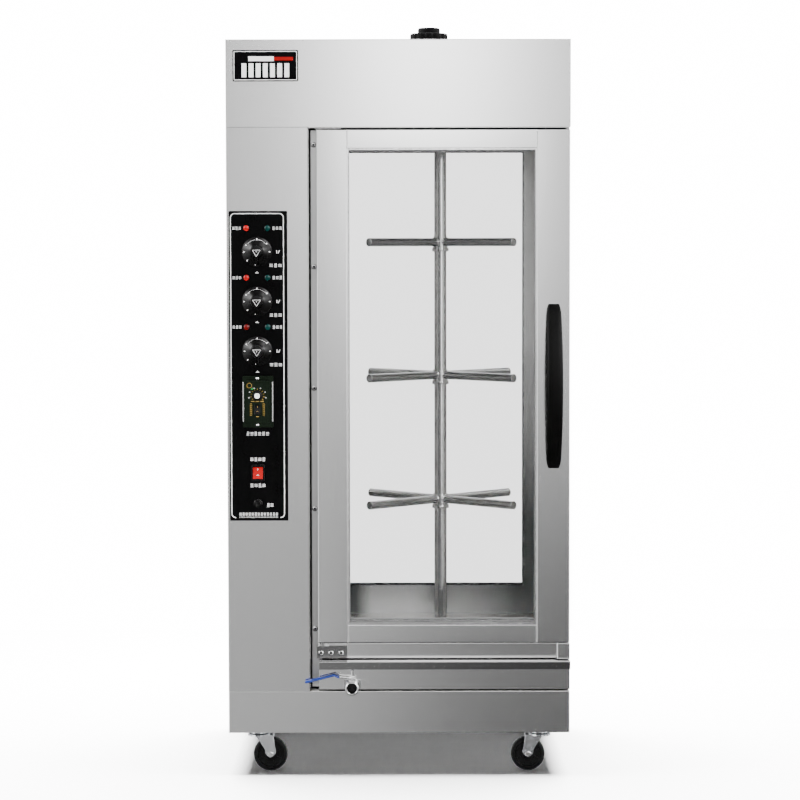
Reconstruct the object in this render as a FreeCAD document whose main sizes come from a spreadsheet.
import FreeCAD, Part
import math
import os

import Sketcher

# Upright electric rotisserie oven. +X is to the viewer's right, +Y runs from the door to the rear and
# +Z is up. The origin is the middle of the footprint, on the floor. Depths are counted from the front plane.

SIZES = {
    # cabinet
    "cabinet_width": 800, "cabinet_depth": 640, "cabinet_top": 1720, "head_bottom": 1518,
    "plinth_bottom": 102, "plinth_top": 200, "sheet": 2, "gland_reach": 20,
    "column_width": 192, "jamb_gap": 3, "frame_depth": 43,
    # cavity
    "cavity_left": -160, "cavity_right": 364, "cavity_floor": 300, "cavity_ceiling": 1482,
    "cavity_back": 600, "sill_top": 367.5, "mouth_top": 1476, "heater_bay": 42,
    "rear_left": -150, "rear_right": 318, "rear_bottom": 374, "rear_top": 1480,
    # door
    "door_left": -189, "door_right": 399, "door_bottom": 315, "door_top": 1511.5, "door_thick": 40,
    "stile_left": 70, "stile_right": 77, "rail_bottom": 41.5, "rail_top": 43.2, "end_block": 30,
    "pane": 5, "pane_inset": 10, "seal_width": 8, "seal_thick": 2.7, "pivot_x": -180, "pivot_depth": 14,
    "pin_radius": 5, "pin_reach": 24, "running_gap": 0.05,
    # handle
    "handle_x": 361, "handle_width": 38, "handle_bottom": 724.5, "handle_height": 383,
    "handle_reach": 66, "handle_thick": 17,
    # spit
    "spit_x": 102, "spit_depth": 318, "spit_radius": 15, "spit_bottom": 304, "spit_top": 1580,
    "arm_reach": 244, "arm_radius": 10, "arm_wall": 2, "hub_radius": 18, "hub_height": 27,
    "tier_top": 1251, "tier_middle": 927, "tier_bottom": 623,
    # drip tray and drain
    "tray_left": -187, "tray_bottom": 204.6, "tray_top": 273.6, "lip_height": 18.6, "lip_reach": 25,
    "pan_left": -170, "pan_right": 364, "pan_floor": 206, "pan_top": 252, "pan_length": 498,
    "drain_x": -110, "drain_z": 211, "drain_radius": 16, "drain_bore": 12.1, "drain_reach": 33,
    "stem_depth": -14, "lever_width": 13,
    # controls
    "panel_left": -394, "panel_right": -258, "panel_bottom": 602.5, "panel_top": 1324,
    "knob_x": -328.5, "knob_radius": 35, "knob_reach": 28, "knob_top": 1229.3, "knob_middle": 1114.1,
    "knob_bottom": 998.6, "spindle": 3, "lamp_radius": 8, "power_x": -353, "working_x": -304,
    "lamp_top": 1284, "lamp_middle": 1169.5, "lamp_bottom": 1054.7,
    "speed_left": -363, "speed_right": -292, "speed_bottom": 821, "speed_top": 940.5,
    "speed_knob_z": 895.3, "speed_switch_z": 863, "switch_z": 715, "reset_z": 642.5,
    # vent, fan, casters
    "vent_x": 73, "vent_depth": 160, "vent_pipe": 26, "vent_cap": 44.5, "vent_grip": 26.3,
    "fan_x": -304, "fan_z": 1350, "fan_size": 120, "gland_z": 240,
    "swivel_x": 333, "axle_x": 305, "caster_depth": 75, "wheel_radius": 40, "wheel_width": 26,
    "axle_radius": 6, "fork_top": 89.5,
}


class Size:
    """A number together with the spreadsheet expression that it comes from."""

    def __init__(self, value, text):
        self.value = float(value)
        self.text = text

    def __add__(self, other):
        other = size(other)
        return Size(self.value + other.value, f"({self.text} + {other.text})")

    def __sub__(self, other):
        other = size(other)
        return Size(self.value - other.value, f"({self.text} - {other.text})")

    def __mul__(self, factor):
        return Size(self.value * factor, f"({self.text} * {factor})")

    def __truediv__(self, divisor):
        return self * (1.0 / divisor)

    def __neg__(self):
        return self * -1

    __radd__ = __add__

    def __rsub__(self, other):
        return size(other) - self


def size(value):
    """Return value as a Size."""
    return value if isinstance(value, Size) else Size(value, f"({value})")


doc = FreeCAD.newDocument("rotisserie_oven")
sheet = doc.addObject("Spreadsheet::Sheet", "Sizes")
for row, (alias, number) in enumerate(SIZES.items(), 1):
    sheet.set(f"A{row}", alias)
    sheet.set(f"B{row}", str(number))
    sheet.setAlias(f"B{row}", alias)
doc.recompute()
DIM = {alias: Size(number, f"Sizes.{alias}") for alias, number in SIZES.items()}
HALF = DIM["cabinet_width"] / 2
SHEET = DIM["sheet"]
FRONT = (DIM["handle_reach"] - DIM["cabinet_depth"] - DIM["gland_reach"]) / 2
BACK = FRONT + DIM["cabinet_depth"]
nodes = []


def depth(distance):
    """Return the Y of a plane this far behind the front plane."""
    return FRONT + distance


# ---------------------------------------------------------------- building blocks

def bind(thing, prop, value):
    """Drive a property from the spreadsheet."""
    thing.setExpression(prop, size(value).text)


def place(thing, x, y, z):
    """Drive an object's position from the spreadsheet."""
    bind(thing, "Placement.Base.x", x)
    bind(thing, "Placement.Base.y", y)
    bind(thing, "Placement.Base.z", z)
    return thing


TURN = {
    "z": FreeCAD.Rotation(),
    "y": FreeCAD.Rotation(FreeCAD.Vector(1, 0, 0), -90),
    "x": FreeCAD.Rotation(FreeCAD.Vector(0, 1, 0), 90),
}


def block(low, high):
    """Return a box between two corners."""
    box = doc.addObject("Part::Box", "Block")
    for prop, start, end in zip(("Length", "Width", "Height"), low, high):
        bind(box, prop, end - start)
    return place(box, *low)


def rod(base, radius, length, axis="z", tip=None):
    """Return a cylinder, or a cone if a tip radius is given, from base along +axis."""
    round_bar = doc.addObject("Part::Cone" if tip is not None else "Part::Cylinder", "Rod")
    bind(round_bar, "Radius1" if tip is not None else "Radius", radius)
    if tip is not None:
        bind(round_bar, "Radius2", tip)
    bind(round_bar, "Height", length)
    round_bar.Placement = FreeCAD.Placement(FreeCAD.Vector(), TURN[axis])
    return place(round_bar, *base)


def button(base, radius, length, tip, axis="z"):
    """Return a cone whose wide end is at base + length and whose tip points along -axis."""
    return rod(base, tip, length, axis, tip=radius)


def fuse(*shapes):
    """Return the union of shapes."""
    union = doc.addObject("Part::MultiFuse", "Union")
    union.Shapes = list(shapes)
    return union


def cut(base, *tools):
    """Return base less every tool."""
    difference = doc.addObject("Part::Cut", "Difference")
    difference.Base = base
    difference.Tool = tools[0] if len(tools) == 1 else fuse(*tools)
    return difference


def round_edges(base, radius, wanted):
    """Fillet the edges that the test picks."""
    doc.recompute()
    numbers = [index for index, edge in enumerate(base.Shape.Edges, 1) if wanted(edge)]
    fillet = doc.addObject("Part::Fillet", "Rounded")
    fillet.Base = base
    fillet.Edges = [(index, radius, radius) for index in numbers]
    return fillet


def body_plane(body, role):
    """Return an origin plane of a body."""
    return next(item for item in body.Origin.OriginFeatures if item.Role == role)


def outline(body, role, points):
    """Draw a closed polygon whose every corner is driven from the spreadsheet."""
    sketch = body.newObject("Sketcher::SketchObject", "Outline")
    sketch.AttachmentSupport = [(body_plane(body, role), "")]
    sketch.MapMode = "FlatFace"
    corners = [(size(across), size(up)) for across, up in points]
    vectors = [FreeCAD.Vector(across.value, up.value, 0) for across, up in corners]
    count = len(vectors)
    for index in range(count):
        sketch.addGeometry(Part.LineSegment(vectors[index], vectors[(index + 1) % count]), False)
    for index in range(count):
        sketch.addConstraint(Sketcher.Constraint("Coincident", index, 2, (index + 1) % count, 1))
    for index, corner in enumerate(corners):
        for kind, value in zip(("DistanceX", "DistanceY"), corner):
            number = sketch.addConstraint(Sketcher.Constraint(kind, index, 1, value.value))
            sketch.setExpression(f"Constraints[{number}]", value.text)
    return sketch


def pad(role, points, length, shift=(0, 0, 0), bend=None, edges=None):
    """Return a PartDesign body: a polygon padded along its plane's normal, with picked edges rounded."""
    body = doc.addObject("PartDesign::Body", "Body")
    sketch = outline(body, role, points)
    feature = body.newObject("PartDesign::Pad", "Pad")
    feature.Profile = sketch
    bind(feature, "Length", length)
    if bend:
        doc.recompute()
        names = [f"Edge{number}" for number, edge in enumerate(feature.Shape.Edges, 1) if edges(edge)]
        fillet = body.newObject("PartDesign::Fillet", "Bend")
        fillet.Base = (feature, names)
        fillet.Radius = bend
    return place(body, *shift)


def turned(points, shift=(0, 0, 0), axis="z"):
    """Return a PartDesign body: a polygon of (radius, height) turned about its own axis."""
    body = doc.addObject("PartDesign::Body", "Body")
    sketch = outline(body, "XZ_Plane", points)
    feature = body.newObject("PartDesign::Revolution", "Turned")
    feature.Profile = sketch
    feature.ReferenceAxis = (sketch, ["V_Axis"])
    feature.Angle = 360
    body.Placement = FreeCAD.Placement(FreeCAD.Vector(), TURN[axis])
    return place(body, *shift)


def node(label, *shapes):
    """Name a finished sub-part; several shapes become one group of separate solids."""
    if len(shapes) == 1:
        part = shapes[0]
    else:
        part = doc.addObject("Part::Compound", "Group")
        part.Links = list(shapes)
    part.Label = label
    nodes.append(part)
    return part


def along(direction):
    """Return a test for straight edges that run along a direction."""
    def test(edge):
        span = edge.Vertexes[-1].Point - edge.Vertexes[0].Point
        return span.Length > 0 and abs(span.normalize().dot(direction)) > 0.999
    return test


UPRIGHT = FreeCAD.Vector(0, 0, 1)
INWARD = FreeCAD.Vector(0, 1, 0)

# ---------------------------------------------------------------- base and shell

COLUMN_EDGE = DIM["column_width"] - HALF
FLANGE = depth(DIM["frame_depth"])
CAVITY_FRONT = FLANGE + SHEET
CAVITY_BACK = depth(DIM["cavity_back"])
SPIT_Y = depth(DIM["spit_depth"])
VENT_Y = depth(DIM["vent_depth"])
PANEL_FACE = FRONT - SHEET
TIERS = (DIM["tier_top"], DIM["tier_middle"], DIM["tier_bottom"])
KNOBS = {"top": DIM["knob_top"], "middle": DIM["knob_middle"], "bottom": DIM["knob_bottom"]}
HOLE_GAP = 1.5
BEND = 1.5
RESET_HOLE = 7
SWITCH_HALF_WIDTH = 12
SWITCH_HALF_HEIGHT = 15


def build_base():
    """Make the plinth pan, the deck with the tray runners, and the caster plates."""
    pan = block((-HALF, FRONT, DIM["plinth_bottom"]), (HALF, BACK, DIM["plinth_top"]))
    inside = block((-HALF + SHEET, FRONT + SHEET, DIM["plinth_bottom"] + SHEET),
                   (HALF - SHEET, BACK - SHEET, DIM["plinth_top"] + SHEET))
    node("base_plinth", cut(pan, inside))
    deck_bottom = DIM["plinth_top"] - SHEET
    deck = block((-HALF + SHEET, FRONT + SHEET, deck_bottom), (HALF - SHEET, BACK - SHEET, DIM["plinth_top"]))
    runner_start, runner_end, runner_top, leg = depth(60), depth(560), 228, 4
    side_gap, ledge_width, pan_gap = 1, 12, 0.5
    runners = []
    for side, wall in ((-1, DIM["pan_left"] - side_gap), (1, DIM["pan_right"] + side_gap)):
        outer = wall + side * leg
        inner = wall - side * ledge_width
        ledge_low, ledge_high = (wall, inner) if side < 0 else (inner, wall)
        leg_low, leg_high = (outer, wall) if side < 0 else (wall, outer)
        ledge = block((ledge_low, runner_start, DIM["plinth_top"]),
                      (ledge_high, runner_end, DIM["pan_floor"] - pan_gap))
        upright = block((leg_low, runner_start, DIM["plinth_top"]), (leg_high, runner_end, runner_top))
        runners += [ledge, upright]
    node("base_deck", deck, *runners)
    plates = []
    plate_half_x, plate_half_y, plate_thick, ring_radius = 47, 38, 3, 28
    plate_bottom = DIM["plinth_bottom"] - plate_thick
    ring_bottom = DIM["fork_top"] + 0.5
    bore_depth = 9
    for spot_x, spot_y in caster_spots().values():
        plate = block((spot_x - plate_half_x, spot_y - plate_half_y, plate_bottom),
                      (spot_x + plate_half_x, spot_y + plate_half_y, DIM["plinth_bottom"]))
        ring = rod((spot_x, spot_y, ring_bottom), ring_radius, plate_bottom - ring_bottom)
        bore = rod((spot_x, spot_y, ring_bottom), DIM["axle_radius"] + DIM["running_gap"], bore_depth)
        plates.append(cut(fuse(plate, ring), bore))
    node("caster_plates", *plates)


def caster_spots():
    """Return the swivel axis of each caster."""
    near = depth(DIM["caster_depth"])
    far = BACK - DIM["caster_depth"]
    return {"front_left": (-DIM["swivel_x"], near), "front_right": (DIM["swivel_x"], near),
            "rear_left": (-DIM["swivel_x"], far), "rear_right": (DIM["swivel_x"], far)}


def build_casters():
    """Make a fork with its kingpin and axle, and a wheel, for each caster."""
    for place_name, (spot_x, spot_y) in caster_spots().items():
        side = -1 if spot_x.value < 0 else 1
        axle_x = DIM["axle_x"] * side
        axle_z = DIM["wheel_radius"]
        crown_bottom = DIM["wheel_radius"] * 2 + 3
        crown_radius, end_gap = 26, 4
        crown = rod((spot_x, spot_y, crown_bottom), crown_radius, DIM["fork_top"] - crown_bottom)
        kingpin = rod((spot_x, spot_y, crown_bottom), DIM["axle_radius"],
                      DIM["plinth_bottom"] - end_gap - crown_bottom)
        leg_gap = DIM["wheel_width"] / 2 + 1.5
        leg_thick = 3
        foot_half, foot_drop, foot_rise, crest_outboard, crest_inboard = 13, 6, 10, 8, 34
        foot_low, foot_high, leg_top = axle_z - foot_drop, axle_z + foot_rise, crown_bottom + leg_thick
        foot = [(axle_x - foot_half, foot_low), (axle_x + foot_half, foot_low)]
        crest = [(spot_x + crest_outboard * side, leg_top), (spot_x - crest_inboard * side, leg_top)]
        if side > 0:
            corners = foot + crest + [(axle_x - foot_half, foot_high)]
        else:
            corners = foot + [(axle_x + foot_half, foot_high)] + crest[::-1]
        legs = [pad("XZ_Plane", corners, leg_thick, shift=(0, leg_y + leg_thick, 0))
                for leg_y in (spot_y - leg_gap - leg_thick, spot_y + leg_gap)]
        axle_length = leg_gap * 2 + leg_thick * 2 + 8
        axle = rod((axle_x, spot_y - axle_length / 2, axle_z), DIM["axle_radius"], axle_length, axis="y")
        node(f"caster_fork_{place_name}", fuse(crown, kingpin, axle, *legs))
        half = DIM["wheel_width"] / 2
        bore = DIM["axle_radius"] + DIM["running_gap"]
        tread = DIM["wheel_radius"]
        hub, rim, slope, dish, shoulder = 15, 31, 2, 3, 4
        side_steps = [(bore, 0), (hub, 0), (hub + slope, dish), (rim - slope, dish), (rim, 0),
                      (tread - dish, 0), (tread, shoulder)]
        profile = [(radius, inset - half) for radius, inset in side_steps]
        profile += [(radius, half - inset) for radius, inset in reversed(side_steps)]
        node(f"caster_wheel_{place_name}", turned(profile, shift=(axle_x, spot_y, axle_z), axis="y"))


def front_corner(right):
    """Return a test for the upright edge where a folded panel turns back at its right end."""
    near = 0.1

    def test(edge):
        middle = edge.CenterOfMass
        return along(UPRIGHT)(edge) and middle.x > right.value - near and middle.y < FRONT.value + near
    return test


def build_shell():
    """Make the column, head, side, top and rear panels and the head floor."""
    left, right = -HALF, COLUMN_EDGE
    fold = [(left, FRONT), (right, FRONT), (right, FLANGE), (right - SHEET, FLANGE),
            (right - SHEET, FRONT + SHEET), (left, FRONT + SHEET)]
    tall = DIM["head_bottom"] - DIM["plinth_top"]
    column = pad("XY_Plane", fold, tall, shift=(0, 0, DIM["plinth_top"]), bend=BEND, edges=front_corner(right))
    holes = [rod((DIM["knob_x"], FRONT, height), DIM["spindle"] + HOLE_GAP, SHEET, axis="y")
             for height in KNOBS.values()]
    holes.append(rod((DIM["knob_x"], FRONT, DIM["reset_z"]), RESET_HOLE, SHEET, axis="y"))
    half_width, half_height = SWITCH_HALF_WIDTH + 1, SWITCH_HALF_HEIGHT + 1
    holes.append(block((DIM["knob_x"] - half_width, FRONT, DIM["switch_z"] - half_height),
                       (DIM["knob_x"] + half_width, depth(SHEET), DIM["switch_z"] + half_height)))
    node("column_front_panel", cut(column, *holes))
    node("left_side_panel", block((-HALF, depth(SHEET), DIM["plinth_top"]),
                                  (-HALF + SHEET, BACK - SHEET, DIM["cabinet_top"] - SHEET)))
    node("right_side_panel", block((HALF - SHEET, FLANGE, DIM["plinth_top"]),
                                   (HALF, BACK - SHEET, DIM["cabinet_top"] - SHEET)))
    fold = [(-HALF, FRONT), (HALF, FRONT), (HALF, FLANGE), (HALF - SHEET, FLANGE),
            (HALF - SHEET, FRONT + SHEET), (-HALF, FRONT + SHEET)]
    head_height = DIM["cabinet_top"] - SHEET - DIM["head_bottom"]
    node("head_front_panel", pad("XY_Plane", fold, head_height, shift=(0, 0, DIM["head_bottom"]), bend=BEND,
                                 edges=front_corner(HALF)))
    lid = block((-HALF, FRONT, DIM["cabinet_top"] - SHEET), (HALF, BACK, DIM["cabinet_top"]))
    lid_hole = rod((DIM["vent_x"], VENT_Y, DIM["cabinet_top"] - SHEET), DIM["vent_pipe"] + HOLE_GAP, SHEET)
    node("top_panel", cut(lid, lid_hole))
    floor = block((-HALF + SHEET, FRONT + SHEET, DIM["head_bottom"] - SHEET),
                  (HALF - SHEET, BACK - SHEET, DIM["head_bottom"]))
    pipe_hole = rod((DIM["vent_x"], VENT_Y, DIM["head_bottom"] - SHEET), DIM["vent_pipe"] + HOLE_GAP, SHEET)
    shaft_hole = rod((DIM["spit_x"], SPIT_Y, DIM["head_bottom"] - SHEET), DIM["spit_radius"] + HOLE_GAP, SHEET)
    deep_column = block((-HALF + SHEET, FRONT + SHEET, DIM["head_bottom"] - SHEET),
                        (COLUMN_EDGE, FLANGE, DIM["head_bottom"]))
    node("head_floor", cut(floor, pipe_hole, shaft_hole, deep_column))
    build_rear()


def build_rear():
    """Make the rear panel with its window and fan slots, the insulated window frame and the two panes."""
    hole_low, hole_high = (DIM["rear_left"], DIM["rear_bottom"]), (DIM["rear_right"], DIM["rear_top"])
    panel = block((-HALF, BACK - SHEET, DIM["plinth_top"]), (HALF, BACK, DIM["cabinet_top"] - SHEET))
    window = block((hole_low[0], BACK - SHEET, hole_low[1]), (hole_high[0], BACK, hole_high[1]))
    slots = []
    slot_count, slot_pitch, slot_width, slot_height = 7, 14, 84, 6
    for index in range(slot_count):
        slot_z = DIM["fan_z"] + (index - (slot_count - 1) / 2) * slot_pitch - slot_height / 2
        slots.append(block((DIM["fan_x"] - slot_width / 2, BACK - SHEET, slot_z),
                           (DIM["fan_x"] + slot_width / 2, BACK, slot_z + slot_height)))
    inlet_radius, side_gap = 8, 4
    inlet = rod((DIM["fan_x"], BACK - SHEET, DIM["gland_z"]), inlet_radius, SHEET, axis="y")
    node("rear_panel", cut(panel, window, inlet, *slots))
    ring = block((COLUMN_EDGE + side_gap, CAVITY_BACK, DIM["cavity_floor"] - SHEET),
                 (HALF - side_gap, BACK - SHEET, DIM["head_bottom"] - SHEET))
    opening = block((hole_low[0], CAVITY_BACK, hole_low[1]), (hole_high[0], BACK - SHEET, hole_high[1]))
    hollow = block((COLUMN_EDGE + side_gap + SHEET, CAVITY_BACK + SHEET, DIM["cavity_floor"]),
                   (HALF - side_gap - SHEET, BACK - SHEET, DIM["head_bottom"] - SHEET * 2))
    reveal = block((hole_low[0] - SHEET, CAVITY_BACK, hole_low[1] - SHEET),
                   (hole_high[0] + SHEET, BACK - SHEET, hole_high[1] + SHEET))
    node("rear_window_frame", cut(ring, opening, cut(hollow, reveal)))
    panes = []
    for pane_depth in (8, 28):
        pane_y = CAVITY_BACK + pane_depth
        panes.append(block((hole_low[0], pane_y, hole_low[1]),
                           (hole_high[0], pane_y + DIM["pane"], hole_high[1])))
    node("rear_glass", *panes)


# ---------------------------------------------------------------- cavity

def build_cavity():
    """Make the front frame, the cavity's sheets, the heater bay and the insulation."""
    left, right, low, high = DIM["cavity_left"], DIM["cavity_right"], DIM["cavity_floor"], DIM["cavity_ceiling"]
    bay = left - DIM["heater_bay"]
    jamb_left = COLUMN_EDGE + DIM["jamb_gap"]
    frame_top = DIM["head_bottom"] - SHEET
    jamb_right, jamb_bottom, frame_bottom = jamb_left + 26, 205, 276
    corners = [(jamb_left, jamb_bottom), (jamb_right, jamb_bottom), (jamb_right, frame_bottom),
               (HALF - SHEET, frame_bottom), (HALF - SHEET, frame_top), (jamb_left, frame_top)]
    plate = pad("XZ_Plane", corners, SHEET, shift=(0, CAVITY_FRONT, 0))
    mouth = block((left, FLANGE, DIM["sill_top"]), (right, CAVITY_FRONT, DIM["mouth_top"]))
    node("front_frame", cut(plate, mouth))
    bay_wall = block((bay - SHEET, CAVITY_FRONT, low), (bay, CAVITY_BACK, high))
    right_wall = block((right, CAVITY_FRONT, low), (right + SHEET, CAVITY_BACK, high))
    ceiling = block((bay - SHEET, CAVITY_FRONT, high), (right + SHEET, CAVITY_BACK, high + SHEET))
    vent_hole = rod((DIM["vent_x"], VENT_Y, high), DIM["vent_pipe"] - 3, SHEET)
    shaft_hole = rod((DIM["spit_x"], SPIT_Y, high), DIM["spit_radius"] + HOLE_GAP, SHEET)
    node("cavity_walls", cut(bay_wall, *terminal_holes(bay - SHEET, SHEET, HOLE_GAP)), right_wall,
         cut(ceiling, vent_hole, shaft_hole))
    floor = block((bay - SHEET, CAVITY_FRONT, low - SHEET), (right + SHEET, CAVITY_BACK, low))
    drain_depth, drain_radius = 110, 22
    drain = rod((DIM["spit_x"], depth(drain_depth), low - SHEET), drain_radius, SHEET)
    node("cavity_floor", cut(floor, drain))
    build_guard(left, low, high)
    gap, left_thick = 1, 15
    slab_front, slab_back, slab_left = CAVITY_FRONT + gap, CAVITY_BACK - gap, bay - SHEET - left_thick
    left_slab = block((slab_left, slab_front, low), (bay - SHEET - gap, slab_back, high))
    right_slab = block((right + SHEET + gap, slab_front, low), (HALF - SHEET - gap, slab_back, high))
    top_slab = block((bay, slab_front, high + SHEET + gap),
                     (right, slab_back, DIM["head_bottom"] - SHEET - gap))
    roof = DIM["head_bottom"] - high
    sleeve = rod((DIM["vent_x"], VENT_Y, high), DIM["vent_pipe"] + HOLE_GAP, roof)
    tunnel = rod((DIM["spit_x"], SPIT_Y, high), DIM["spit_radius"] + HOLE_GAP, roof)
    node("insulation", cut(left_slab, *terminal_holes(slab_left, left_thick, HOLE_GAP)), right_slab,
         cut(top_slab, sleeve, tunnel))


HEATER_RADIUS = 5.5
HEATER_HALF = 62
HEATER_NEAR = depth(130)
HEATER_FAR = depth(470)


def terminal_holes(start_x, length, gap):
    """Return a rod through the bay wall at each heater end."""
    return [rod((start_x, HEATER_NEAR, tier + offset), HEATER_RADIUS + gap, length, axis="x")
            for tier in TIERS for offset in (-HEATER_HALF, HEATER_HALF)]


def build_guard(left, low, high):
    """Make the slotted sheet that covers the heater bay."""
    guard = block((left - SHEET, CAVITY_FRONT, low), (left, CAVITY_BACK, high))
    columns, rows, slot_width, slot_height = 9, 12, 14, 62
    pitch_y, pitch_z = 54, 88
    first_y, first_z = 96, 400
    slots = []
    for column in range(columns):
        for step in range(rows):
            slot_y = depth(first_y + column * pitch_y - slot_width / 2)
            slot_z = first_z + step * pitch_z
            slots.append(block((left - SHEET, slot_y, slot_z),
                               (left, slot_y + slot_width, slot_z + slot_height)))
    node("heater_guard", cut(guard, *slots))


def build_heaters():
    """Make one hairpin element for each tier: two legs, each with a terminal, and a return bend."""
    heater_x = DIM["cavity_left"] - DIM["heater_bay"] / 2
    terminal_start = DIM["cavity_left"] - DIM["heater_bay"] - 40
    leg_start = HEATER_NEAR - HEATER_RADIUS
    hairpins = []
    for tier in TIERS:
        for offset in (-HEATER_HALF, HEATER_HALF):
            leg = rod((heater_x, leg_start, tier + offset), HEATER_RADIUS, HEATER_FAR - leg_start, axis="y")
            terminal = rod((terminal_start, HEATER_NEAR, tier + offset), HEATER_RADIUS - 1,
                           heater_x - terminal_start, axis="x")
            hairpins += [leg, cut(terminal, leg)]
        bend = doc.addObject("Part::Torus", "Bend")
        bind(bend, "Radius1", HEATER_HALF)
        bind(bend, "Radius2", HEATER_RADIUS)
        bend.Angle3 = 180
        bend.Placement = FreeCAD.Placement(FreeCAD.Vector(), FreeCAD.Rotation(FreeCAD.Vector(0, 1, 0), -90))
        hairpins.append(place(bend, heater_x, HEATER_FAR, tier))
    node("heater_elements", *hairpins)


# ---------------------------------------------------------------- front fittings

def build_front_fittings():
    """Make the recessed fascia with the right post, the hinge brackets with their pins, and the screws."""
    fascia_depth = 20
    fascia_left, fascia_right, fascia_bottom, fascia_top = -190, 370, 275, 311
    profile = [(depth(fascia_depth), fascia_bottom), (depth(fascia_depth + 2), fascia_bottom),
               (depth(fascia_depth + 2), fascia_top - 2), (FLANGE, fascia_top - 2), (FLANGE, fascia_top),
               (depth(fascia_depth), fascia_top)]
    fascia = pad("YZ_Plane", profile, fascia_right - fascia_left, shift=(fascia_left, 0, 0))
    post = block((fascia_right + 0.5, FRONT, fascia_bottom), (HALF, FLANGE, fascia_top + 2))
    node("lower_fascia", fascia, post)
    bracket_left, bracket_right, plate, lug_top = -193, -122, 3, 306
    lug_right, strap_right = bracket_left + 28, bracket_left + 60
    plate_face = depth(fascia_depth - plate)
    upright = block((bracket_left, plate_face, fascia_bottom + 1),
                    (bracket_right, depth(fascia_depth), lug_top))
    lug = block((bracket_left, depth(plate), lug_top - plate), (lug_right, plate_face, lug_top))
    pivot_y = depth(DIM["pivot_depth"])
    lower_pin = rod((DIM["pivot_x"], pivot_y, lug_top - plate), DIM["pin_radius"],
                    DIM["door_bottom"] - (lug_top - plate) + DIM["pin_reach"])
    pin_tip = DIM["door_top"] - DIM["pin_reach"]
    strap_bottom, strap_top = DIM["head_bottom"] - SHEET - plate, DIM["head_bottom"] - SHEET
    strap = block((bracket_left, depth(plate), strap_bottom), (strap_right, FLANGE, strap_top))
    upper_pin = rod((DIM["pivot_x"], pivot_y, pin_tip), DIM["pin_radius"], strap_bottom - pin_tip)
    node("hinge_brackets", fuse(upright, lug, lower_pin), fuse(strap, upper_pin))
    screws = []
    head, head_top, thick = 6.5, 4.2, 3.2
    jamb_screw_x, lowest, pitch, count = -197.5, 342, 284, 5
    for index in range(count):
        spot = (jamb_screw_x, FLANGE - thick, lowest + pitch * index)
        screws.append(button(spot, head, thick, head_top, axis="y"))
    bracket_screws, bracket_screw_z = (-183.5, -160, -136), 288.5
    for screw_x in bracket_screws:
        spot = (screw_x, plate_face - thick, bracket_screw_z)
        screws.append(button(spot, head, thick, head_top, axis="y"))
    node("frame_screws", *screws)


def build_controls():
    """Make the panel, lamps, thermostats, speed controller and nameplate."""
    face = PANEL_FACE
    panel = block((DIM["panel_left"], face, DIM["panel_bottom"]), (DIM["panel_right"], FRONT, DIM["panel_top"]))
    holes = [rod((DIM["knob_x"], face, height), DIM["spindle"] + HOLE_GAP, SHEET, axis="y")
             for height in KNOBS.values()]
    holes.append(rod((DIM["knob_x"], face, DIM["reset_z"]), RESET_HOLE, SHEET, axis="y"))
    switch_left, switch_right = DIM["knob_x"] - SWITCH_HALF_WIDTH, DIM["knob_x"] + SWITCH_HALF_WIDTH
    switch_low, switch_high = DIM["switch_z"] - SWITCH_HALF_HEIGHT, DIM["switch_z"] + SWITCH_HALF_HEIGHT
    holes.append(block((switch_left, face, switch_low), (switch_right, FRONT, switch_high)))
    bezel_face, rim_side, rim_end = face - 3, 3.5, 4
    bezel = block((switch_left - rim_side, bezel_face, switch_low - rim_end),
                  (switch_right + rim_side, face, switch_high + rim_end))
    opening = block((switch_left, bezel_face, switch_low), (switch_right, face, switch_high))
    collar_radius, collar_bore, collar_thick = 10, 6.1, 2
    collar_base = (DIM["knob_x"], face - collar_thick, DIM["reset_z"])
    collar = cut(rod(collar_base, collar_radius, collar_thick, axis="y"),
                 rod(collar_base, collar_bore, collar_thick, axis="y"))
    node("control_panel", cut(panel, *holes), cut(bezel, opening), collar)
    for label, lamp_x in (("power_lamps", DIM["power_x"]), ("working_lamps", DIM["working_x"])):
        lamps = []
        ring_thick, dome_thick, dome_tip = 3, 4, 4.5
        for lamp_z in (DIM["lamp_top"], DIM["lamp_middle"], DIM["lamp_bottom"]):
            ring = rod((lamp_x, face - ring_thick, lamp_z), DIM["lamp_radius"], ring_thick, axis="y")
            dome = button((lamp_x, face - ring_thick - dome_thick, lamp_z), DIM["lamp_radius"] - 1, dome_thick,
                          dome_tip, axis="y")
            lamps.append(fuse(ring, dome))
        node(label, *lamps)
    bodies = []
    case_half_width, case_half_height, case_depth, spindle_depth = 20, 22, 38, 18
    for height in KNOBS.values():
        case = block((DIM["knob_x"] - case_half_width, depth(SHEET), height - case_half_height),
                     (DIM["knob_x"] + case_half_width, depth(case_depth), height + case_half_height))
        bodies.append(cut(case, rod((DIM["knob_x"], depth(SHEET), height), DIM["spindle"] + DIM["running_gap"],
                                    spindle_depth, axis="y")))
    node("thermostats", *bodies)
    build_speed_controller(face)
    plate_low, plate_high, plate_thick = (-383, 1623), (-231, 1695.4), 1.5
    node("nameplate", block((plate_low[0], FRONT - plate_thick, plate_low[1]),
                            (plate_high[0], FRONT, plate_high[1])))


SPEED_RISE = 9
SPEED_SWITCH_HALF_WIDTH = 7
SPEED_SWITCH_HALF_HEIGHT = 11


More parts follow.
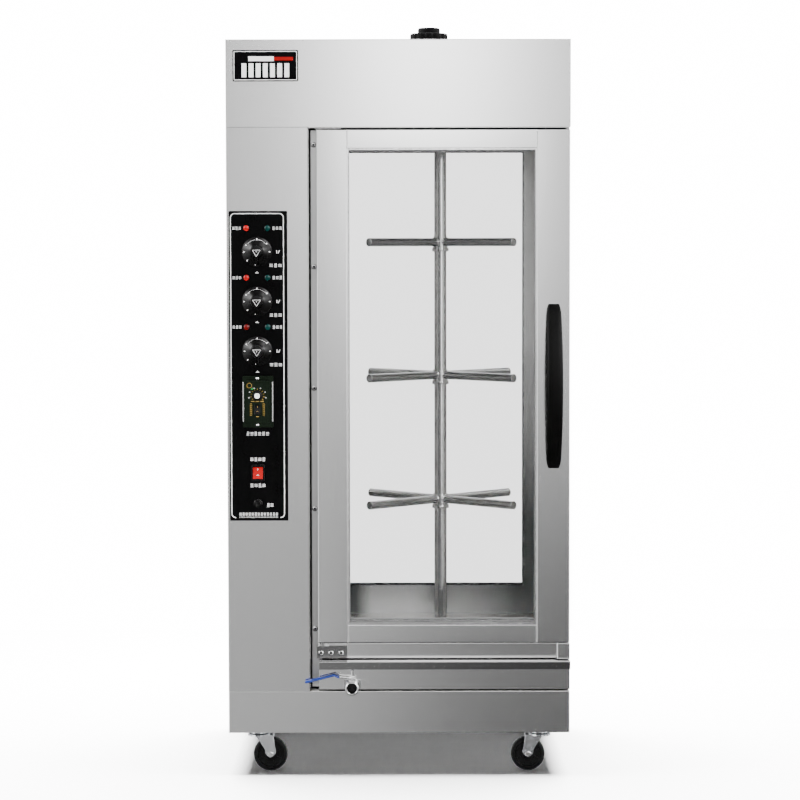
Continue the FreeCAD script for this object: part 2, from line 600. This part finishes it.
def build_speed_controller(face):
    """Make the speed controller: a plate with a raised middle, a knob bearing and a rocker well."""
    left, right, low, high = DIM["speed_left"], DIM["speed_right"], DIM["speed_bottom"], DIM["speed_top"]
    plate_thick, rise = 4, SPEED_RISE
    side_margin, end_margin = 9, 11
    plate = block((left, face - plate_thick, low), (right, face, high))
    raised = block((left + side_margin, face - rise, low + end_margin),
                   (right - side_margin, face - plate_thick, high - end_margin))
    head, thick, head_top = 4.5, 2.4, 3
    screws = [button((DIM["knob_x"], face - plate_thick - thick, screw_z), head, thick, head_top, axis="y")
              for screw_z in (low + end_margin / 2, high - end_margin / 2)]
    bore = rod((DIM["knob_x"], face - rise, DIM["speed_knob_z"]), DIM["spindle"] + DIM["running_gap"], rise,
               axis="y")
    half_width, half_height = SPEED_SWITCH_HALF_WIDTH + 0.5, SPEED_SWITCH_HALF_HEIGHT + 0.5
    well = block((DIM["knob_x"] - half_width, face - rise, DIM["speed_switch_z"] - half_height),
                 (DIM["knob_x"] + half_width, face - 1, DIM["speed_switch_z"] + half_height))
    node("speed_controller", cut(fuse(plate, raised, *screws), bore, well))


def build_knobs():
    """Make the thermostat knobs, the speed knob, the rockers and the reset button."""
    start = PANEL_FACE - 1
    reach = DIM["knob_reach"]
    rim = DIM["knob_radius"]
    grip, pointer_half = 14, 3
    for name, height in KNOBS.items():
        profile = [(0, -reach), (grip - 2, -reach), (grip, -reach + 2), (grip + 1, -15), (grip + 4, -12),
                   (rim - 5, -6), (rim, -3.5), (rim, 0), (DIM["spindle"], 0), (DIM["spindle"], 16), (0, 16)]
        knob = turned(profile, shift=(DIM["knob_x"], start, height), axis="y")
        pointer = block((DIM["knob_x"] - pointer_half, start - reach, height - rim + 4),
                        (DIM["knob_x"] + pointer_half, start - 3, height))
        node(f"thermostat_knob_{name}", fuse(knob, pointer))
    speed_face = PANEL_FACE - SPEED_RISE - 0.4
    profile = [(0, -13), (6.2, -13), (7, -12.2), (7.4, -4), (11, -3.4), (11.5, -2.6), (11.5, 0),
               (DIM["spindle"], 0), (DIM["spindle"], 9), (0, 9)]
    node("speed_knob", turned(profile, shift=(DIM["knob_x"], speed_face, DIM["speed_knob_z"]), axis="y"))
    small_rear, large_rear, clearance, bezel = 6, 9, 0.4, 3
    node("speed_switch", rocker(DIM["speed_switch_z"], PANEL_FACE - SPEED_RISE, SPEED_SWITCH_HALF_WIDTH,
                                SPEED_SWITCH_HALF_HEIGHT, small_rear))
    node("motor_switch", rocker(DIM["switch_z"], PANEL_FACE - bezel, SWITCH_HALF_WIDTH - clearance,
                                SWITCH_HALF_HEIGHT - clearance, large_rear))
    button_start, button_radius, button_length = PANEL_FACE - 6.5, 6, 11
    node("reset_button", rod((DIM["knob_x"], button_start, DIM["reset_z"]), button_radius, button_length,
                             axis="y"))


def rocker(centre_z, face, half_width, half_height, rear):
    """Return a rocker cap: a shallow vee in side view, its upper half pressed in."""
    low, high = -half_height, half_height
    points = [(face + 0.5, centre_z + high * 0.93), (face - 0.6, centre_z), (face - 4, centre_z + low * 0.97),
              (face + rear * 0.5, centre_z + low * 0.55), (face + rear * 0.5, centre_z + high * 0.55)]
    return pad("YZ_Plane", points, half_width * 2, shift=(DIM["knob_x"] - half_width, 0, 0))


def build_services():
    """Make the vent, gear motor, spit bearings, cooling fan and cable gland."""
    pipe_radius = DIM["vent_pipe"]
    pipe_bottom = DIM["cavity_ceiling"] + SHEET
    cabinet_top = DIM["cabinet_top"]
    profile = [(pipe_radius - 3, pipe_bottom), (pipe_radius, pipe_bottom), (pipe_radius, cabinet_top),
               (40, cabinet_top), (40, cabinet_top + 5), (pipe_radius, cabinet_top + 6),
               (pipe_radius, cabinet_top + 17), (pipe_radius - 3, cabinet_top + 17)]
    node("vent_collar", turned(profile, shift=(DIM["vent_x"], VENT_Y, 0)))
    recess = pipe_radius + 0.08
    cap, grip = DIM["vent_cap"], DIM["vent_grip"]
    profile = [(0, 18), (recess, 18), (recess, 8), (cap - 3, 8), (cap, 11), (cap, 20), (cap - 3, 24),
               (grip, 24.5), (grip, 33), (grip - 4, 37.5), (0, 37.5)]
    cap_body = turned(profile, shift=(DIM["vent_x"], VENT_Y, cabinet_top))
    notches = []
    notch_count, notch_radius, notch_length, ring = 12, 5, 19, cap + 2.2
    for index in range(notch_count):
        turn = 2 * math.pi * (index + 0.5) / notch_count
        spot = (DIM["vent_x"] + ring * math.cos(turn), VENT_Y + ring * math.sin(turn), cabinet_top + 7)
        notches.append(rod(spot, notch_radius, notch_length))
    node("vent_knob", cut(cap_body, *notches))
    bore = DIM["spit_radius"] + DIM["running_gap"]
    gearbox_radius, gearbox_height, socket = 58, 74, 66
    motor_radius, motor_length, motor_start, motor_rise = 40, 170, 210, 42
    gearbox = rod((DIM["spit_x"], SPIT_Y, DIM["head_bottom"]), gearbox_radius, gearbox_height)
    motor = rod((DIM["spit_x"] - motor_start, SPIT_Y, DIM["head_bottom"] + motor_rise), motor_radius,
                motor_length, axis="x")
    shaft_socket = rod((DIM["spit_x"], SPIT_Y, DIM["head_bottom"]), bore, socket)
    node("gear_motor", cut(gearbox, shaft_socket), cut(motor, gearbox))
    upper = turned([(bore, 0), (20, 0), (20, 8), (32, 8), (32, 12), (bore, 12)],
                   shift=(DIM["spit_x"], SPIT_Y, DIM["cavity_ceiling"] - 12))
    lower = turned([(0, 0), (34, 0), (34, 4), (24, 6), (24, 18), (bore, 18), (bore, 3.5), (0, 3.5)],
                   shift=(DIM["spit_x"], SPIT_Y, DIM["cavity_floor"]))
    node("spit_bearings", upper, lower)
    build_fan()
    profile = [(5, -4), (7.5, -4), (7.5, 2), (14, 2), (14, 9), (11, 10), (11, 15), (8.5, DIM["gland_reach"]),
               (5, DIM["gland_reach"])]
    node("cable_gland", turned(profile, shift=(DIM["fan_x"], BACK, DIM["gland_z"]), axis="y"))


def build_fan():
    """Make the cooling fan's frame with its struts, and the impeller."""
    thick, tunnel_radius, hub_radius = 30, 56, 20
    frame_front, frame_back = BACK - SHEET - thick, BACK - SHEET
    half = DIM["fan_size"] / 2
    fan_x, fan_z = DIM["fan_x"], DIM["fan_z"]
    frame = block((fan_x - half, frame_front, fan_z - half), (fan_x + half, frame_back, fan_z + half))
    tunnel = rod((fan_x, frame_front, fan_z), tunnel_radius, thick, axis="y")
    disc_thick, strut_thick, strut_half, strut_reach = 5, 4, 3, tunnel_radius + 1
    disc = rod((fan_x, frame_front, fan_z), hub_radius, disc_thick, axis="y")
    strut_back = frame_front + strut_thick
    strut_across = block((fan_x - strut_reach, frame_front, fan_z - strut_half),
                         (fan_x + strut_reach, strut_back, fan_z + strut_half))
    strut_up = block((fan_x - strut_half, frame_front, fan_z - strut_reach),
                     (fan_x + strut_half, strut_back, fan_z + strut_reach))
    node("fan_frame", fuse(cut(frame, tunnel), disc, strut_across, strut_up))
    hub_front, hub_length = frame_front + disc_thick + 1, 18
    hub = rod((fan_x, hub_front, fan_z), hub_radius, hub_length, axis="y")
    blades = []
    blade_count, blade_tilt = 7, 35
    blade_chord, blade_thick, blade_length, blade_root = 24, 1.6, 36, 17
    for index in range(blade_count):
        blade = doc.addObject("Part::Box", "Blade")
        bind(blade, "Length", blade_chord)
        bind(blade, "Width", blade_thick)
        bind(blade, "Height", blade_length)
        root = FreeCAD.Vector(-blade_chord / 2, -blade_thick / 2, blade_root)
        start = FreeCAD.Placement(root, FreeCAD.Rotation())
        tilt = FreeCAD.Placement(FreeCAD.Vector(), FreeCAD.Rotation(UPRIGHT, blade_tilt))
        centre = FreeCAD.Vector(fan_x.value, (hub_front + hub_length / 2).value, fan_z.value)
        spin = FreeCAD.Placement(centre, FreeCAD.Rotation(INWARD, 360 * index / blade_count))
        blade.Placement = spin.multiply(tilt).multiply(start)
        blades.append(blade)
    node("fan_impeller", fuse(hub, *blades))


# ---------------------------------------------------------------- door

def build_door():
    """Make the stiles, rails, panes, seal and handle."""
    left, right, low, high = DIM["door_left"], DIM["door_right"], DIM["door_bottom"], DIM["door_top"]
    back = depth(DIM["door_thick"])
    glass_left, glass_right = left + DIM["stile_left"], right - DIM["stile_right"]
    glass_low, glass_high = low + DIM["rail_bottom"], high - DIM["rail_top"]
    end = DIM["end_block"]
    stiles = []
    for stile_low, stile_high, open_low, open_high in (
            (left, glass_left, left + SHEET, glass_left), (glass_right, right, glass_right, right - SHEET)):
        bar = block((stile_low, FRONT, low), (stile_high, back, high))
        channel = block((open_low, FRONT + SHEET, low + end), (open_high, back - SHEET, high - end))
        stiles.append((bar, channel))
    pin_bore = DIM["pin_radius"] + DIM["running_gap"]
    pivot_y = depth(DIM["pivot_depth"])
    bores = [rod((DIM["pivot_x"], pivot_y, low), pin_bore, DIM["pin_reach"] + 2),
             rod((DIM["pivot_x"], pivot_y, high - DIM["pin_reach"] - 2), pin_bore, DIM["pin_reach"] + 2)]
    node("door_stiles", cut(stiles[0][0], stiles[0][1], *bores), cut(*stiles[1]))
    bottom = cut(block((glass_left, FRONT, low), (glass_right, back, glass_low)),
                 block((glass_left, FRONT + SHEET, low + SHEET), (glass_right, back - SHEET, glass_low)))
    top = cut(block((glass_left, FRONT, glass_high), (glass_right, back, high)),
              block((glass_left, FRONT + SHEET, glass_high), (glass_right, back - SHEET, high - SHEET)))
    node("door_rails", bottom, top)
    inset = DIM["pane_inset"]
    panes = []
    pane_depths = (4, 30)
    for pane_depth in pane_depths:
        panes.append(block((glass_left - inset, depth(pane_depth), glass_low - inset),
                           (glass_right + inset, depth(DIM["pane"] + pane_depth), glass_high + inset)))
    node("door_glass", *panes)
    seal_back = back + DIM["seal_thick"]
    mouth_gap, width = 4, DIM["seal_width"]
    inner_low = (DIM["cavity_left"] - mouth_gap, DIM["sill_top"] - mouth_gap)
    inner_high = (DIM["cavity_right"] + mouth_gap, DIM["mouth_top"] + mouth_gap)
    seal = block((inner_low[0] - width, back, inner_low[1] - width),
                 (inner_high[0] + width, seal_back, inner_high[1] + width))
    hole = block((inner_low[0], back, inner_low[1]), (inner_high[0], seal_back, inner_high[1]))
    node("door_seal", cut(seal, hole))
    build_handle()


def build_handle():
    """Make the bow handle: the slice between two round cylinders in front of the door."""
    chord, reach, thick = DIM["handle_height"], DIM["handle_reach"], DIM["handle_thick"]
    middle = DIM["handle_bottom"] + chord / 2
    low_x = DIM["handle_x"] - DIM["handle_width"] / 2
    outer = arc_radius(SIZES["handle_height"], SIZES["handle_reach"])
    inner = arc_radius(SIZES["handle_height"] - 2 * SIZES["handle_thick"] * 1.7,
                       SIZES["handle_reach"] - SIZES["handle_thick"])
    disc = rod((low_x, FRONT - reach + outer, middle), outer, DIM["handle_width"], axis="x")
    window = block((low_x, FRONT - reach, DIM["handle_bottom"]),
                   (low_x + DIM["handle_width"], FRONT, DIM["handle_bottom"] + chord))
    bow = doc.addObject("Part::Common", "Bow")
    bow.Base, bow.Tool = disc, window
    hollow = rod((low_x, FRONT - reach + thick + inner, middle), inner, DIM["handle_width"], axis="x")
    edge_radius, shortest = 5, 150
    node("door_handle", round_edges(cut(bow, hollow), edge_radius, lambda edge: edge.Length > shortest))


def arc_radius(chord, rise):
    """Return the radius of an arc from its chord and rise."""
    return (chord * chord / 4 + rise * rise) / (2 * rise)


# ---------------------------------------------------------------- spit

def build_spit():
    """Make the shaft with its collars, and the hub and four tubes of each cross."""
    shaft = rod((DIM["spit_x"], SPIT_Y, DIM["spit_bottom"]), DIM["spit_radius"],
                DIM["spit_top"] - DIM["spit_bottom"])
    collars, crosses = [], []
    collar_height, collar_radius, arm_count, arm_start = 9, 20.5, 4, 16
    for tier in TIERS:
        hub_low = tier - DIM["hub_height"] / 2
        collars.append(cut(rod((DIM["spit_x"], SPIT_Y, hub_low - collar_height), collar_radius, collar_height),
                           shaft))
        hub = rod((DIM["spit_x"], SPIT_Y, hub_low), DIM["hub_radius"], DIM["hub_height"])
        crosses.append(cut(hub, rod((DIM["spit_x"], SPIT_Y, hub_low), DIM["spit_radius"], DIM["hub_height"])))
        for index in range(arm_count):
            turn = 360 / arm_count * (index + 0.5)
            tube = cut(arm_rod(tier, DIM["arm_radius"], arm_start, turn),
                       arm_rod(tier, DIM["arm_radius"] - DIM["arm_wall"], arm_start, turn))
            crosses.append(cut(tube, hub))
    node("spit_shaft", shaft, *collars)
    node("spit_crosses", *crosses)


def arm_rod(tier, radius, start, turn):
    """Return a level rod that points away from the shaft."""
    arm = rod((0, 0, 0), radius, DIM["arm_reach"] - start, axis="x")
    heading = FreeCAD.Rotation(UPRIGHT, turn)
    arm.Placement = FreeCAD.Placement(FreeCAD.Vector(), heading.multiply(TURN["x"]))
    offset = heading.multVec(FreeCAD.Vector(start, 0, 0))
    return place(arm, DIM["spit_x"] + offset.x, SPIT_Y + offset.y, tier)


# ---------------------------------------------------------------- drip tray and drain

def build_tray():
    """Make the drip tray with its full-width front, grip lip and pan."""
    left, low, high = DIM["tray_left"], DIM["tray_bottom"], DIM["tray_top"]
    lip_low = high - DIM["lip_height"]
    corner = 9
    face = round_edges(block((left, FRONT, low), (HALF, FRONT + SHEET, high)), corner,
                       lambda edge: along(INWARD)(edge) and edge.CenterOfMass.z < low.value + 1
                       and edge.CenterOfMass.x < 0)
    return_low = low + corner + 1
    returns = [block((left, FRONT + SHEET, return_low), (left + SHEET, FLANGE - 1, high - 2)),
               block((HALF - SHEET, FRONT + SHEET, low), (HALF, FLANGE - 1, high - 2))]
    lip_top = block((left, FRONT - DIM["lip_reach"], high - SHEET), (HALF, FRONT, high))
    lip_front = block((left, FRONT - DIM["lip_reach"], lip_low), (HALF, FRONT - DIM["lip_reach"] + SHEET, high))
    pan = block((DIM["pan_left"], FRONT + SHEET, DIM["pan_floor"]),
                (DIM["pan_right"], depth(DIM["pan_length"]), DIM["pan_top"]))
    inside = block((DIM["pan_left"] + SHEET, FRONT + SHEET * 2, DIM["pan_floor"] + SHEET),
                   (DIM["pan_right"] - SHEET, depth(DIM["pan_length"]) - SHEET, DIM["pan_top"]))
    hole_rise, hole_radius = 7, 8
    drain = rod((DIM["drain_x"], FRONT, DIM["drain_z"] + hole_rise), hole_radius, SHEET * 2, axis="y")
    node("drip_tray", cut(fuse(face, lip_top, lip_front, *returns), drain), cut(pan, inside, drain))


def build_drain():
    """Make the ball valve body, its lever with the stem, and the lever's sleeve."""
    valve_x, valve_z, reach = DIM["drain_x"], DIM["drain_z"], DIM["drain_reach"]
    stem_y = depth(DIM["stem_depth"])
    flange_half, flange_thick, flange_low, flange_high = 20, 3, 205, 228
    flange = block((valve_x - flange_half, FRONT - flange_thick, flange_low),
                   (valve_x + flange_half, FRONT, flange_high))
    body_radius, mouth_length, bore_depth, boss_radius, boss_height = 14, 9, 12, 8, 19
    stem_radius, stem_base, stem_top = 4, 12, 40
    body = rod((valve_x, FRONT - reach + mouth_length - 1, valve_z), body_radius, reach - mouth_length,
               axis="y")
    mouth = rod((valve_x, FRONT - reach, valve_z), DIM["drain_radius"], mouth_length, axis="y")
    boss = rod((valve_x, stem_y, valve_z), boss_radius, boss_height)
    bore = rod((valve_x, FRONT - reach, valve_z), DIM["drain_bore"], bore_depth, axis="y")
    stem_bore = rod((valve_x, stem_y, valve_z + stem_base), stem_radius + DIM["running_gap"], 8)
    node("drain_valve", cut(fuse(flange, body, mouth, boss), bore, stem_bore))
    strip_points = [(valve_x + 9, 231), (valve_x - 28, 234), (valve_x - 41, 240), (valve_x - 108, 223),
                    (valve_x - 108, 226), (valve_x - 41, 243), (valve_x - 29, 237), (valve_x + 9, 234)]
    half_width = DIM["lever_width"] / 2
    strip = pad("XZ_Plane", strip_points, DIM["lever_width"], shift=(0, stem_y + half_width, 0))
    stem_start, nut_rise, nut_radius, nut_height = stem_base + 0.5, 22, 6.5, 5
    stem = rod((valve_x, stem_y, valve_z + stem_start), stem_radius, stem_top - stem_start)
    nut = rod((valve_x, stem_y, valve_z + nut_rise), nut_radius, nut_height)
    node("valve_lever", fuse(strip, stem, nut))
    sleeve_points = [(valve_x - 30, 231.6), (valve_x - 41, 237.2), (valve_x - 106, 220.7), (valve_x - 111, 221),
                     (valve_x - 111, 228), (valve_x - 107, 229.2), (valve_x - 41, 245.8), (valve_x - 30, 240)]
    wall = 2.5
    sleeve = pad("XZ_Plane", sleeve_points, DIM["lever_width"] + wall * 2,
                 shift=(0, stem_y + half_width + wall, 0))
    slot = pad("XZ_Plane", strip_points, DIM["lever_width"], shift=(0, stem_y + half_width, 0))
    node("lever_sleeve", cut(sleeve, slot))


# ---------------------------------------------------------------- build, test and write

def write_parts():
    """Check every object, then write each node's shape."""
    doc.recompute()
    broken = [item.Label for item in doc.Objects if "Invalid" in item.State or "Error" in item.State]
    faulty = [part.Label for part in nodes if part.Shape.isNull() or not part.Shape.isValid()]
    if broken or faulty:
        raise RuntimeError(f"failed objects {broken}, failed shapes {faulty}")
    os.makedirs("parts", exist_ok=True)
    for part in nodes:
        part.Shape.exportStep(os.path.join("parts", f"{part.Label}.step"))
    print(len(nodes), "parts written")


build_base()
build_casters()
build_shell()
build_cavity()
build_heaters()
build_front_fittings()
build_controls()
build_knobs()
build_services()
build_door()
build_spit()
build_tray()
build_drain()
write_parts()
